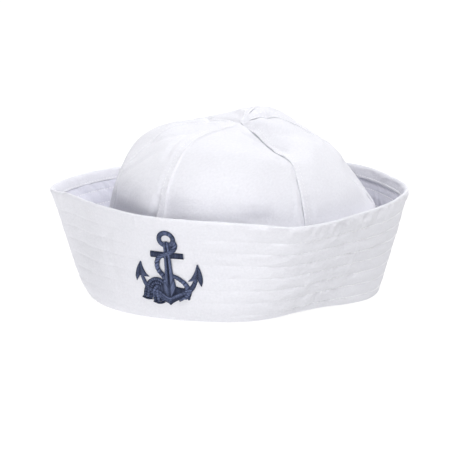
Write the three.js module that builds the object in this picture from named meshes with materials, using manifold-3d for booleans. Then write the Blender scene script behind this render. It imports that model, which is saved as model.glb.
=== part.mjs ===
// A sailor cap of white cotton twill: six sewn crown gores inside a tall brim that is turned up
// all round, with a raised fouled anchor embroidered on the brim's front.
// Millimetres, +Z up. The front, with the anchor, faces -Y. The origin is under the brim's
// middle, on the surface that the cap rests on.
import * as THREE from 'three';
import { mergeVertices } from 'three/addons/utils/BufferGeometryUtils.js';
import Module from 'manifold-3d';

const wasm = await Module();
wasm.setup();

// Cloth and seams
const PLY = 1.0;                  // thickness of one brim ply
const GORE_CLOTH = 1.2;           // thickness of a crown gore
const GAP = 0.3;                  // clearance between sewn neighbours
const HEM_DEPTH = 8;              // depth of the rim hem, inside the brim
const HEM_PROUD = 0.4;            // the hem's step over the inner ply
const FELL_WIDTH = 5;             // width of a felled crown seam
const FELL_PROUD = 0.5;           // its height over the gore
const FOOT_HEIGHT = 3.5;          // thickness of the foot seam, where brim and crown join
const FOOT_WIDTH = 3.4;           // its width, inwards from the brim's foot
const CROWN_INSET = 1.6;          // from the brim's foot to the crown's outside

// Brim: azimuth in degrees from the front towards +X, then the rim and the foot of the brim,
// and how far the turned-up cloth bellies out just above the foot.
const BRIM_ROWS = [
  { azimuth: -70, rimRadius: 122.5, rimHeight: 71.5, footRadius: 94.0, footHeight: 0.0, belly: 3.4 },
  { azimuth: -55, rimRadius: 113.5, rimHeight: 74.1, footRadius: 95.0, footHeight: 0.0, belly: 3.4 },
  { azimuth: -40, rimRadius: 110.5, rimHeight: 74.3, footRadius: 97.0, footHeight: 0.0, belly: 2.8 },
  { azimuth: -25, rimRadius: 112.0, rimHeight: 74.1, footRadius: 97.8, footHeight: 0.0, belly: 2.4 },
  { azimuth: -10, rimRadius: 115.0, rimHeight: 73.2, footRadius: 97.5, footHeight: 0.0, belly: 2.0 },
  { azimuth: 5, rimRadius: 117.5, rimHeight: 73.2, footRadius: 97.5, footHeight: 0.0, belly: 1.6 },
  { azimuth: 20, rimRadius: 120.0, rimHeight: 72.4, footRadius: 98.0, footHeight: 0.0, belly: 1.4 },
  { azimuth: 30, rimRadius: 123.0, rimHeight: 71.3, footRadius: 97.0, footHeight: 0.2, belly: 1.2 },
  { azimuth: 40, rimRadius: 126.0, rimHeight: 69.2, footRadius: 94.0, footHeight: 1.0, belly: 1.0 },
  { azimuth: 50, rimRadius: 125.0, rimHeight: 69.5, footRadius: 91.0, footHeight: 2.2, belly: 0.8 },
  { azimuth: 65, rimRadius: 121.5, rimHeight: 71.3, footRadius: 89.8, footHeight: 2.4, belly: 0.6 },
  { azimuth: 80, rimRadius: 120.0, rimHeight: 71.7, footRadius: 94.0, footHeight: 1.0, belly: 0.5 },
  { azimuth: 95, rimRadius: 120.0, rimHeight: 71.5, footRadius: 100.0, footHeight: 0.0, belly: 0.4 },
  { azimuth: 110, rimRadius: 123.5, rimHeight: 71.5, footRadius: 102.8, footHeight: 0.0, belly: 0.4 },
  { azimuth: 130, rimRadius: 121.0, rimHeight: 71.9, footRadius: 101.5, footHeight: 0.0, belly: 0.8 },
  { azimuth: 155, rimRadius: 122.5, rimHeight: 72.5, footRadius: 98.5, footHeight: 0.0, belly: 1.5 },
  { azimuth: 185, rimRadius: 117.5, rimHeight: 72.5, footRadius: 97.0, footHeight: 0.0, belly: 2.0 },
  { azimuth: 215, rimRadius: 116.5, rimHeight: 71.1, footRadius: 95.0, footHeight: 0.0, belly: 2.4 },
  { azimuth: 240, rimRadius: 116.0, rimHeight: 70.5, footRadius: 93.5, footHeight: 0.0, belly: 2.8 },
  { azimuth: 265, rimRadius: 118.5, rimHeight: 70.9, footRadius: 93.0, footHeight: 0.0, belly: 3.2 },
];
const BELLY_PEAK = 0.43;          // exponent that puts the belly a fifth of the way up
const BRIM_STEPS = 60;
const BRIM_STATIONS = [0.02, 0.07, 0.14, 0.24, 0.38, 0.54, 0.7, 0.82];
const LEAST_STATION = 0.01;       // stations of one ply stand at least this far apart
const RIM_ROUND = 1.2;            // height of the rounded top edge

// Crown: where each seam stands, and the meridian of each seam and each gore's middle. A
// column is the radius at that height, or the height at that radius, from the leaning axis.
const SEAM_AZIMUTHS = [-15, 50, 110, 170, 230, 300];
const CROWN_ROWS = [
  { at: 'seam 1', radius35: 94, radius60: 93.5, radius85: 89, height70: 109.6, height48: 117.1, height20: 117.6 },
  { at: 'gore 1', radius35: 94, radius60: 92.5, radius85: 87, height70: 104.6, height48: 112.1, height20: 115.6 },
  { at: 'seam 2', radius35: 92, radius60: 93, radius85: 82.5, height70: 100.1, height48: 104.1, height20: 112.3 },
  { at: 'gore 2', radius35: 95, radius60: 95, radius85: 83, height70: 98.6, height48: 111.1, height20: 119.1 },
  { at: 'seam 3', radius35: 98, radius60: 95.5, radius85: 73, height70: 94.5, height48: 110, height20: 121.5 },
  { at: 'gore 3', radius35: 97, radius60: 96, radius85: 80.5, height70: 95, height48: 110.5, height20: 125.5 },
  { at: 'seam 4', radius35: 96, radius60: 94, radius85: 84, height70: 105.1, height48: 116.6, height20: 123.8 },
  { at: 'gore 4', radius35: 95, radius60: 93, radius85: 86, height70: 106.1, height48: 115.6, height20: 121 },
  { at: 'seam 5', radius35: 94, radius60: 91, radius85: 83.5, height70: 105, height48: 113, height20: 115.5 },
  { at: 'gore 5', radius35: 91, radius60: 85.2, radius85: 78, height70: 103, height48: 113, height20: 116.5 },
  { at: 'seam 6', radius35: 91, radius60: 84.8, radius85: 80, height70: 98, height48: 116.5, height20: 118 },
  { at: 'gore 6', radius35: 92.5, radius60: 86.5, radius85: 81.5, height70: 100.5, height48: 114, height20: 117.1 },
];
const JUNCTION_HEIGHT = 116.8;    // where the six gores meet
const JUNCTION_RADIUS = 1.0;      // the gores' tips stop this far from the axis
const LEAN = new THREE.Vector2(7.7, 2.8);   // sideways lean of the axis at LEAN_HEIGHT
const LEAN_HEIGHT = 113;
const PILLOW = 1.3;               // how far a gore bulges between its seams
const CROWN_STATIONS = 12;
const GORE_COLUMNS = 7;           // columns of a gore past its felled edge
const FELL_SHARE = 0.3;           // near the peak the felled edge takes this share of its gore
const STEP_SHARE = 0.05;          // and the step beside it this one

// Soft dents in the crown: place in degrees and millimetres of height, size and depth
const DENTS = [
  { azimuth: -9, height: 71, wide: 7, tall: 11, depth: 3.5 },
  { azimuth: 31, height: 67, wide: 10, tall: 8, depth: 3.0 },
  { azimuth: -45, height: 75, wide: 12, tall: 12, depth: 1.5 },
];

// Anchor embroidery, in millimetres across and up from its middle on the brim's outside.
// A stroke is a raised line of satin stitch: across, up and width at each of its points.
const ANCHOR = { azimuth: -1.6, upBrim: 0.5, clear: GAP };
const STROKES = [
  { part: 'stock', height: 1.0, steps: 9, points: [[-12.9, 10.8, 4.4], [0, 10.8, 4.2], [11.5, 10.8, 4.1]] },
  { part: 'shank', height: 1.3, steps: 11, points: [[0, 20.6, 3.6], [0, 9, 4.1], [0, -3, 5.6], [-0.2, -14, 7.4]] },
  { part: 'base', height: 1.2, steps: 5, points: [[-0.3, -12, 13], [-0.5, -19, 10], [-0.7, -25.3, 0.8]] },
  { part: 'left arm', height: 0.9, steps: 8, points: [[-0.6, -21.6, 5], [-9.7, -17.5, 4.6], [-16.8, -12.8, 3.6], [-21, -5.8, 2.6]] },
  { part: 'right arm', height: 0.9, steps: 8, points: [[-0.6, -21.6, 5], [8, -16.6, 4.6], [15.2, -12.2, 3.6], [19.2, -5.4, 2.6]] },
  { part: 'left fluke', height: 1.1, steps: 5, points: [[-20.8, -6.8, 10], [-21.6, -3, 7.4], [-21.2, 4.3, 0.6]] },
  { part: 'right fluke', height: 1.1, steps: 5, points: [[18.5, -6.8, 10], [19.3, -3.5, 7], [20.4, 5.5, 0.6]] },
  { part: 'left hank', height: 1.4, steps: 5, points: [[-14.2, -11.4, 5], [-16, -16.4, 6], [-17, -21.4, 7.6]] },
  { part: 'right hank', height: 1.5, steps: 5, points: [[-9.8, -12.4, 5], [-9, -18, 7.4], [-8.4, -23.8, 7.8]] },
  {
    part: 'rope', height: 1.7, steps: 28,
    points: [[5.4, 21.2, 2.8], [6.3, 18.7, 3.2], [5.2, 15.4, 3.2], [1.8, 12.8, 3.2], [-2.6, 11.3, 3.2],
      [-6.4, 8.6, 3.2], [-8.3, 4.2, 3.2], [-7.5, -0.5, 3.4], [-4.4, -3.3, 3.4], [0.4, -5, 3.2],
      [6.4, -6.3, 3], [11.2, -9.8, 3.2], [13, -14.3, 3.4], [11, -18.4, 3.4], [6.8, -20.9, 3]],
  },
];
// Rings are closed strokes: the anchor's ring, and the rope's turn where it is made fast.
const RINGS = [
  { part: 'ring', height: 0.9, steps: 16, middle: [0.1, 22.4], radii: [5.2, 4.7], width: 3.2, turn: 0 },
  { part: 'turn', height: 1.6, steps: 14, middle: [-10.7, -10.1], radii: [5.2, 2.8], width: 2.9, turn: 14 },
];
const SHOULDER = 0.5;             // a stroke's sides stand this share of its height
const FLAT_TOP = 0.45;            // share of its width that is level on top
const WELD = 1e-5;                // corners closer than this are one corner

const WHITE = { color: 0xf4f4f8, roughness: 0.85, metalness: 0 };
const NAVY = { color: 0x2c3a66, roughness: 0.45, metalness: 0 };

// Value of one column at an azimuth, smooth all the way round the cap
function around(rows, places, column, place) {
  const count = rows.length;
  const turn = 360;
  const start = places[0];
  const wrapped = start + ((((place - start) % turn) + turn) % turn);
  let i = 0;
  while (i + 1 < count && places[i + 1] <= wrapped) i += 1;
  const at = (k) => places[((k % count) + count) % count] + turn * Math.floor(k / count);
  const value = (k) => rows[((k % count) + count) % count][column];
  const slope = (k) => (value(k + 1) - value(k - 1)) / (at(k + 1) - at(k - 1));
  const width = at(i + 1) - at(i);
  const f = (wrapped - at(i)) / width;
  const f2 = f * f;
  const f3 = f2 * f;
  return (2 * f3 - 3 * f2 + 1) * value(i) + (f3 - 2 * f2 + f) * width * slope(i)
    + (3 * f2 - 2 * f3) * value(i + 1) + (f3 - f2) * width * slope(i + 1);
}

const BRIM_PLACES = BRIM_ROWS.map((row) => row.azimuth);
const brimValue = (azimuth, column) => around(BRIM_ROWS, BRIM_PLACES, column, azimuth);
const footHeight = (azimuth) => Math.max(brimValue(azimuth, 'footHeight'), 0);

// Point at a radius and height in the half plane of an azimuth
function polar(azimuth, radius, height, centre = new THREE.Vector2()) {
  const a = THREE.MathUtils.degToRad(azimuth);
  return new THREE.Vector3(centre.x + radius * Math.sin(a), centre.y - radius * Math.cos(a), height);
}

// Radius and height on the brim's outside, from its foot, 0, to its rim, 1
function brimProfile(azimuth, up) {
  const foot = new THREE.Vector2(brimValue(azimuth, 'footRadius'), footHeight(azimuth));
  const rim = new THREE.Vector2(brimValue(azimuth, 'rimRadius'), brimValue(azimuth, 'rimHeight'));
  const slant = rim.clone().sub(foot);
  const out = new THREE.Vector2(slant.y, -slant.x).normalize();
  const bump = Math.sin(Math.PI * Math.pow(up, BELLY_PEAK)) ** 2;
  return foot.addScaledVector(slant, up).addScaledVector(out, brimValue(azimuth, 'belly') * bump);
}

function brimSlant(azimuth) {
  const drop = brimValue(azimuth, 'rimHeight') - footHeight(azimuth);
  return Math.hypot(brimValue(azimuth, 'rimRadius') - brimValue(azimuth, 'footRadius'), drop);
}

// The same point moved inwards through the plies, level with it
function brimInside(azimuth, up, depth) {
  const rise = brimValue(azimuth, 'rimHeight') - footHeight(azimuth);
  const point = brimProfile(azimuth, up);
  point.x -= (depth * brimSlant(azimuth)) / rise;
  return point;
}

// Radius of that inside surface at a height above the brim's foot
function brimInsideAt(azimuth, height, depth) {
  const slant = brimSlant(azimuth);
  const target = footHeight(azimuth) + height;
  let up = height / slant;
  for (let i = 0; i < 4; i += 1) {
    up += (target - brimProfile(azimuth, up).y) / slant;
  }
  return brimInside(azimuth, up, depth).x;
}

// Closed body through a row of loops with equal counts. A loop's first half and its second
// half, read backwards, face each other, which is how the end loops are closed.
function loft(loops, closed) {
  const size = loops[0].length;
  const positions = loops.flat().flatMap((point) => [point.x, point.y, point.z]);
  const faces = [];
  const quad = (a, b, c, d) => faces.push(a, b, c, a, c, d);
  const spans = closed ? loops.length : loops.length - 1;
  for (let i = 0; i < spans; i += 1) {
    const here = i * size;
    const next = ((i + 1) % loops.length) * size;
    for (let k = 0; k < size; k += 1) {
      const l = (k + 1) % size;
      quad(here + k, here + l, next + l, next + k);
    }
  }
  if (!closed) {
    const last = (loops.length - 1) * size;
    for (let k = 0; k < size / 2 - 1; k += 1) {
      const back = size - 1 - k;
      quad(k, back, back - 1, k + 1);
      quad(last + k, last + k + 1, last + back - 1, last + back);
    }
  }
  const geometry = new THREE.BufferGeometry();
  geometry.setAttribute('position', new THREE.Float32BufferAttribute(positions, 3));
  geometry.setIndex(faces);
  return facingOut(geometry);
}

// Turns every triangle over if the body's signed volume is negative
function facingOut(geometry) {
  const place = geometry.getAttribute('position');
  const index = geometry.getIndex();
  const corner = (i) => new THREE.Vector3().fromBufferAttribute(place, index.getX(i));
  let volume = 0;
  for (let i = 0; i < index.count; i += 3) {
    volume += corner(i).dot(corner(i + 1).cross(corner(i + 2)));
  }
  if (volume < 0) {
    geometry.setIndex(Array.from(index.array).reverse());
  }
  return geometry;
}

function mesh(name, geometry, finish) {
  geometry.computeVertexNormals();
  const made = new THREE.Mesh(geometry, new THREE.MeshStandardMaterial(finish));
  made.name = name;
  return made;
}

const brimAzimuths = Array.from({ length: BRIM_STEPS }, (_, i) => (360 * i) / BRIM_STEPS);

// Outer ply: one wall that thickens into the hem at its rim and the seam at its foot
function brimOuterLoop(azimuth) {
  const foot = brimProfile(azimuth, 0);
  const hem = 1 - HEM_DEPTH / brimSlant(azimuth);
  const round = 1 - RIM_ROUND / brimSlant(azimuth);
  const rimThickness = 2 * PLY + GAP + HEM_PROUD;
  const top = brimInside(azimuth, 1, rimThickness / 2);
  const seamTop = foot.y + FOOT_HEIGHT;
  const wallRadius = brimInsideAt(azimuth, FOOT_HEIGHT, PLY);
  const section = [
    new THREE.Vector2(foot.x - FOOT_WIDTH, foot.y),
    new THREE.Vector2(foot.x, foot.y),
    ...BRIM_STATIONS.map((up) => brimProfile(azimuth, up)),
    brimProfile(azimuth, hem),
    brimProfile(azimuth, round),
    new THREE.Vector2(top.x + rimThickness / 4, top.y),
    new THREE.Vector2(top.x - rimThickness / 4, top.y),
    brimInside(azimuth, round, rimThickness),
    brimInside(azimuth, hem, rimThickness),
    brimInside(azimuth, hem, PLY),
    ...BRIM_STATIONS.slice(1).reverse().map((up) => brimInside(azimuth, up, PLY)),
    new THREE.Vector2(wallRadius, seamTop),
    new THREE.Vector2(foot.x - FOOT_WIDTH, seamTop),
  ];
  return section.map((point) => polar(azimuth, point.x, point.y));
}

// Inner ply: a plain wall from the foot seam to just under the hem
function brimInnerLoop(azimuth) {
  const slant = brimSlant(azimuth);
  const low = (FOOT_HEIGHT + GAP) / slant;
  const high = 1 - (HEM_DEPTH + GAP) / slant;
  const stations = [...BRIM_STATIONS.filter((up) => up > low + LEAST_STATION), high];
  const bottom = footHeight(azimuth) + FOOT_HEIGHT + GAP;
  const outside = stations.map((up) => brimInside(azimuth, up, PLY + GAP));
  const inside = stations.map((up) => brimInside(azimuth, up, 2 * PLY + GAP));
  outside.unshift(new THREE.Vector2(brimInsideAt(azimuth, FOOT_HEIGHT + GAP, PLY + GAP), bottom));
  inside.unshift(new THREE.Vector2(brimInsideAt(azimuth, FOOT_HEIGHT + GAP, 2 * PLY + GAP), bottom));
  // The outside runs downwards here as the outer ply's inside does, so that their facets match.
  return [...inside, ...outside.reverse()].map((point) => polar(azimuth, point.x, point.y));
}

// Crown rows stand at the seams and halfway between them
const CROWN_PLACES = CROWN_ROWS.map((row, i) => {
  const seam = SEAM_AZIMUTHS[Math.floor(i / 2)];
  const next = i < CROWN_ROWS.length - 2 ? SEAM_AZIMUTHS[Math.floor(i / 2) + 1] : SEAM_AZIMUTHS[0] + 360;
  return i % 2 ? (seam + next) / 2 : seam;
});
const crownValue = (azimuth, column) => around(CROWN_ROWS, CROWN_PLACES, column, azimuth);

// Meridian of the crown's outside: x is the radius and z the height
function crownMeridian(azimuth) {
  const footRadius = brimValue(azimuth, 'footRadius') - CROWN_INSET;
  const edgeHeight = footHeight(azimuth) + FOOT_HEIGHT + GAP;
  const points = [
    [footRadius, edgeHeight],
    [crownValue(azimuth, 'radius35'), 35],
    [crownValue(azimuth, 'radius60'), 60],
    [crownValue(azimuth, 'radius85'), 85],
    [70, crownValue(azimuth, 'height70')],
    [48, crownValue(azimuth, 'height48')],
    [20, crownValue(azimuth, 'height20')],
    [JUNCTION_RADIUS, JUNCTION_HEIGHT],
  ];
  const curve = new THREE.CatmullRomCurve3(points.map(([x, z]) => new THREE.Vector3(x, 0, z)));
  curve.curveType = 'centripetal';
  curve.arcLengthDivisions = 60;
  return curve;
}

// How far the crown stands out of its meridian, between its seams and in its dents
function crownSwell(azimuth, height, share, along) {
  const fade = Math.sqrt(Math.sin(Math.PI * along));
  const pillow = PILLOW * Math.sin(Math.PI * share) * fade;
  const dents = DENTS.reduce((sum, dent) => {
    const x = (azimuth - dent.azimuth) / dent.wide;
    const z = (height - dent.height) / dent.tall;
    return sum + dent.depth * Math.exp(-x * x - z * z);
  }, 0);
  return pillow - dents;
}

// One gore: its first columns are the felled edge, which stands proud, and then the plain cloth
function crownPanel(number) {
  const start = SEAM_AZIMUTHS[number];
  const end = number < 5 ? SEAM_AZIMUTHS[number + 1] : SEAM_AZIMUTHS[0] + 360;
  const loops = [];
  for (let column = 0; column < GORE_COLUMNS + 3; column += 1) {
    const outside = [];
    const inside = [];
    for (let station = 0; station <= CROWN_STATIONS; station += 1) {
      const along = station / CROWN_STATIONS;
      const rough = crownMeridian((start + end) / 2).getPointAt(along).x;
      const degrees = (length) => THREE.MathUtils.radToDeg(length / rough);
      const edge = degrees(GAP / 2);
      const fell = Math.min(degrees(FELL_WIDTH), (end - start) * FELL_SHARE);
      const step = Math.min(degrees(FELL_PROUD), (end - start) * STEP_SHARE);
      const plain = start + fell + step;
      const places = [start + edge, start + fell];
      for (let i = 0; i <= GORE_COLUMNS; i += 1) {
        places.push(plain + ((end - edge - plain) * i) / GORE_COLUMNS);
      }
      const azimuth = places[column];
      const curve = crownMeridian(azimuth);
      const point = curve.getPointAt(along);
      const tangent = curve.getTangentAt(along);
      const flat = station === 0;
      const normal = flat ? new THREE.Vector2(1, 0) : new THREE.Vector2(tangent.z, -tangent.x);
      const centre = LEAN.clone().multiplyScalar(Math.min((point.z - FOOT_HEIGHT) / LEAN_HEIGHT, 1));
      if (flat) centre.set(0, 0);
      const share = (azimuth - start) / (end - start);
      const swell = flat ? 0 : crownSwell(azimuth, point.z, share, along);
      const proud = column < 2 && !flat ? FELL_PROUD : 0;
      const shift = (amount) => polar(azimuth, point.x + normal.x * amount, point.z + normal.y * amount, centre);
      outside.push(shift(swell + proud));
      inside.push(shift(swell - GORE_CLOTH));
    }
    loops.push([...outside, ...inside.reverse()]);
  }
  return loft(loops, false);
}

// Point on the brim's outside, across and up from the anchor's middle, raised off the cloth
function onBrim(across, up, raised) {
  const share = ANCHOR.upBrim + up / brimSlant(ANCHOR.azimuth);
  const radius = brimProfile(ANCHOR.azimuth, share).x;
  const azimuth = ANCHOR.azimuth + THREE.MathUtils.radToDeg(across / radius);
  const place = (a, s) => {
    const point = brimProfile(a, s);
    return polar(a, point.x, point.y);
  };
  const sideways = place(azimuth + 0.5, share).sub(place(azimuth - 0.5, share));
  const upwards = place(azimuth, share + 0.01).sub(place(azimuth, share - 0.01));
  const normal = sideways.cross(upwards).normalize();
  return place(azimuth, share).addScaledVector(normal, raised);
}

// Raised section of a line of stitches at one point of its path
function stitchLoop(point, side, width, height) {
  const half = width / 2;
  const corner = (across, raised) => {
    const x = point.x + side.x * across;
    const y = point.y + side.y * across;
    return onBrim(x, y, ANCHOR.clear + raised);
  };
  return [
    corner(-half, 0), corner(-half, height * SHOULDER), corner(-half * FLAT_TOP, height),
    corner(half * FLAT_TOP, height), corner(half, height * SHOULDER), corner(half, 0),
  ];
}

function strokeBody({ points, steps, height }) {
  const curve = new THREE.CatmullRomCurve3(points.map(([x, y, width]) => new THREE.Vector3(x, y, width)));
  const loops = [];
  for (let i = 0; i <= steps; i += 1) {
    const point = curve.getPoint(i / steps);
    const tangent = curve.getTangent(i / steps);
    const side = new THREE.Vector2(-tangent.y, tangent.x).normalize();
    loops.push(stitchLoop(point, side, point.z, height));
  }
  return loft(loops, false);
}

function ringBody({ middle, radii, width, turn, steps, height }) {
  const loops = [];
  const tilt = THREE.MathUtils.degToRad(turn);
  for (let i = 0; i < steps; i += 1) {
    const a = (2 * Math.PI * i) / steps;
    const flat = new THREE.Vector2(radii[0] * Math.cos(a), radii[1] * Math.sin(a));
    const side = new THREE.Vector2(Math.cos(a) / radii[0], Math.sin(a) / radii[1]).normalize();
    const origin = new THREE.Vector2();
    flat.rotateAround(origin, tilt).add(new THREE.Vector2(middle[0], middle[1]));
    side.rotateAround(origin, tilt);
    loops.push(stitchLoop(flat, side, width, height));
  }
  return loft(loops, true);
}

function toSolid(geometry) {
  const merged = mergeVertices(geometry, WELD);
  return new wasm.Manifold(new wasm.Mesh({
    numProp: 3,
    vertProperties: merged.getAttribute('position').array,
    triVerts: Uint32Array.from(merged.getIndex().array),
  }));
}

function toGeometry(solid) {
  const result = solid.getMesh();
  const geometry = new THREE.BufferGeometry();
  geometry.setAttribute('position', new THREE.BufferAttribute(result.vertProperties, 3));
  geometry.setIndex(new THREE.BufferAttribute(result.triVerts, 1));
  return geometry;
}

// The whole embroidery: its lines of stitches joined into one raised body
function anchorEmbroidery() {
  const bodies = [...STROKES.map(strokeBody), ...RINGS.map(ringBody)].map(toSolid);
  return toGeometry(bodies.reduce((joined, body) => joined.add(body)));
}

const group = new THREE.Group();
group.name = 'sailor_cap';
SEAM_AZIMUTHS.forEach((_, i) => group.add(mesh(`crown_panel_${i + 1}`, crownPanel(i), WHITE)));
group.add(mesh('brim_outer', loft(brimAzimuths.map(brimOuterLoop), true), WHITE));
group.add(mesh('brim_inner', loft(brimAzimuths.map(brimInnerLoop), true), WHITE));
group.add(mesh('anchor_embroidery', anchorEmbroidery(), NAVY));

export default group;
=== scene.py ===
"""Looks of a white cotton sailor cap: six sewn gores, a tall quilted brim that is turned up all
round, and a fouled anchor embroidered in navy thread on the brim's front.

The cap's form is worked out in millimetres and turned into metres when a piece is made.
An azimuth is in degrees from the front, -Y, towards +X."""
from collections import namedtuple

import bpy
import numpy as np
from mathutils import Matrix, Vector


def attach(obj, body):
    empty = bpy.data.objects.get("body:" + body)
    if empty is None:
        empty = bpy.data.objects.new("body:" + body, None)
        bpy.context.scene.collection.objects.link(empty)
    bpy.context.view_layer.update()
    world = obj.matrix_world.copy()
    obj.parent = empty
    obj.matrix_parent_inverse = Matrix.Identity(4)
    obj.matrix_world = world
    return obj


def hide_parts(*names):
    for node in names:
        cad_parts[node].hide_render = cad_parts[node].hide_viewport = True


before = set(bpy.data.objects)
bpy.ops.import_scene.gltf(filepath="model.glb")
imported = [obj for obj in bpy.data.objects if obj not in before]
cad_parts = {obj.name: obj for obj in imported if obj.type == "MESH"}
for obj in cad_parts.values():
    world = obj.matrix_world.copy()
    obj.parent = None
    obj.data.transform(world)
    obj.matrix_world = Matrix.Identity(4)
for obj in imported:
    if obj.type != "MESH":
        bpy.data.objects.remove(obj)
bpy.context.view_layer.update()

MM = 0.001
TURN = 360.0
TAU = 2 * np.pi

# Cloth, hem and seams, in millimetres
PLY = 1.0
FACING_GAP = 0.3
GORE_CLOTH = 1.2
HEM_DEPTH = 8.0
HEM_PROUD = 0.4
HEM_ROW = 1.4
RIM_THICKNESS = 2 * PLY + FACING_GAP + HEM_PROUD
RIM_DROP = 2.4
RIM_FADE = 9.0
FOOT_HEIGHT = 3.5
FOOT_WIDTH = 3.4
FOOT_ROUND = 2.0
FOOT_FLAT = 2.6
SEAM_CLEAR = 0.3
CROWN_INSET = 1.6
SEAM_TUCK = 0.3
FELL_WIDTH = 5.0
FELL_END = 5.9
FELL_FOLD = 0.55
FELL_PROUD = 0.65
FELL_SHARE = 0.3
FELL_ROWS = (0.95, 4.15)

# The brim and its quilting, in millimetres down the brim from its rim
BRIM_DEPTH = 76.0
BRIM_RADIUS = 110.0
ROW_FIRST = 14.0
ROW_STEP = 9.3
ROW_COUNT = 7
ROWS = ROW_FIRST + ROW_STEP * np.arange(ROW_COUNT)
INSIDE_ROWS = ROWS[:6]
GROOVE_WIDTH = 0.7
OUTSIDE_GROOVE = 0.4
OUTSIDE_PUFF = 0.24
INSIDE_GROOVE = 0.22
INSIDE_PUFF = 0.25
FACING_TUCK = 0.5

# Stitches, in millimetres: the last three say how deep each kind lies in its cloth
STITCH_PITCH = 3.0
STITCH_LONG = 2.3
STITCH_RADIUS = 0.3
SEAM_PITCH = 2.6
SEAM_STITCH_LONG = 2.0
OUTSIDE_SUNK = -0.04
INSIDE_SUNK = -0.1
SEAM_SUNK = 0.24

# The anchor: its middle on the brim, and its threads in millimetres
ANCHOR_AZIMUTH = -1.6
ANCHOR_UP = 0.5
THREAD_RADIUS = 0.17
THREAD_STEP = 0.29
THREAD_PLACES = 7
THREAD_SIDES = 5
# How much painted glints lighten or darken each thread's tone
THREAD_PAINTED_GLINT = 0.35

# The view, the floor and the lamps' aim, in degrees and metres, and the frame in pixels
CAMERA_AZIMUTH = 20.0
CAMERA_ELEVATION = 11.3
CAMERA_DISTANCE = 3.0
AIM_HEIGHT = 0.0715
PIXEL = 0.000683
FRAME_PIXELS = 460
AIM_PIXEL = (228.5, 188.5)
SENSOR = 36.0
FLOOR_HALF = 12.0
LIGHT_AIM = 0.06

# Columns of faces: round the brim's two plies, across a gore and up it
OUTER_COLUMNS = 720
FACING_COLUMNS = 600
PLAIN_COLUMNS = 58
GORE_STATIONS = 132
EDGE_COLUMNS = np.array([0, 0.12, 0.3, 0.6, 0.95, 1.3, 1.9, 2.6, 3.3, 3.8, 4.15, 4.5, 4.9, 5.2, 5.5,
                         5.9, 6.6])
ROW_COLUMNS = np.array([-1.5, -0.9, -0.45, 0, 0.45, 0.9, 1.5])


def table(names, rows):
    """Columns of a short table, by name."""
    return {name: np.array(column, float) for name, column in zip(names.split(), zip(*rows))}


# One stitch: five places along it, how high each lies and its share of the thread's radius
STITCH = table("along arch radius", [
    (-0.5, -0.34, 0.55),
    (-0.36, -0.02, 0.95),
    (0, 0.08, 1.0),
    (0.36, -0.02, 0.95),
    (0.5, -0.34, 0.55),
])

# The brim's plain form round the cap: its rim and foot, and how far its outside bulges between
# them. The bulge is fullest where the share of its height, raised to the peak's power, is a half.
BRIM = table("azimuth rim_radius rim_height foot_radius foot_height belly", [
    (-70, 122.5, 71.5, 94.0, 0.0, 3.4),
    (-55, 113.5, 74.1, 95.0, 0.0, 3.4),
    (-40, 110.5, 74.3, 97.0, 0.0, 2.8),
    (-25, 112.0, 74.1, 97.8, 0.0, 2.4),
    (-10, 115.0, 73.2, 97.5, 0.0, 2.0),
    (5, 117.5, 73.2, 97.5, 0.0, 1.6),
    (20, 120.0, 72.4, 98.0, 0.0, 1.4),
    (30, 123.0, 71.3, 97.0, 0.2, 1.2),
    (40, 126.0, 69.2, 94.0, 1.0, 1.0),
    (50, 125.0, 69.5, 91.0, 2.2, 0.8),
    (65, 121.5, 71.3, 89.8, 2.4, 0.6),
    (80, 120.0, 71.7, 94.0, 1.0, 0.5),
    (95, 120.0, 71.5, 100.0, 0.0, 0.4),
    (110, 123.5, 71.5, 102.8, 0.0, 0.4),
    (130, 121.0, 71.9, 101.5, 0.0, 0.8),
    (155, 122.5, 72.5, 98.5, 0.0, 1.5),
    (185, 117.5, 72.5, 97.0, 0.0, 2.0),
    (215, 116.5, 71.1, 95.0, 0.0, 2.4),
    (240, 116.0, 70.5, 93.5, 0.0, 2.8),
    (265, 118.5, 70.9, 93.0, 0.0, 3.2),
])
BELLY_PEAK = 0.43

# The crown's seams and their felled edges
SEAM_AZIMUTHS = [-15, 50, 110, 170, 230, 300]
GORE_COUNT = len(SEAM_AZIMUTHS)

# Each felled seam: how softly its right edge ends, and its ridge and groove, in millimetres
FELL = table("soft ridge groove", [
    (1.6, 0.45, 0.25),
    (5.0, 0.0, 0.55),
    (2.0, 0.25, 0.3),
    (2.0, 0.25, 0.3),
    (2.0, 0.25, 0.3),
    (2.0, 0.25, 0.3),
])

# Grooves up every felled seam, in millimetres from its folded edge: at its two rows of stitches,
# between them and beside it
FELL_GROOVES = table("across wide depth", [
    (0.95, 0.5, 0.14),
    (4.15, 0.5, 0.14),
    (2.5, 1.1, 0.22),
    (7.6, 1.8, 0.14),
])

# The crown's plain form, at each seam and halfway to the next: radii at three heights, and
# heights at three radii. It leans, and meets at the junction.
CROWN = table("radius35 radius60 radius85 height70 height48 height20", [
    (94, 93.5, 89, 109.6, 117.1, 117.6),
    (94, 92.5, 87, 104.6, 112.1, 115.6),
    (92, 93, 82.5, 100.1, 104.1, 112.3),
    (95, 95, 83, 98.6, 111.1, 119.1),
    (98, 95.5, 73, 94.5, 110, 121.5),
    (97, 96, 80.5, 95, 110.5, 125.5),
    (96, 94, 84, 105.1, 116.6, 123.8),
    (95, 93, 86, 106.1, 115.6, 121),
    (94, 91, 83.5, 105, 113, 115.5),
    (91, 85.2, 78, 103, 113, 116.5),
    (91, 84.8, 80, 98, 116.5, 118),
    (92.5, 86.5, 81.5, 100.5, 114, 117.1),
])
JUNCTION_HEIGHT = 116.8
JUNCTION_RADIUS = 0.35
LEAN = np.array([7.7, 2.8])
LEAN_HEIGHT = 113.0
CROWN_MIDDLE = 30.0
PILLOW = 1.3

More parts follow.
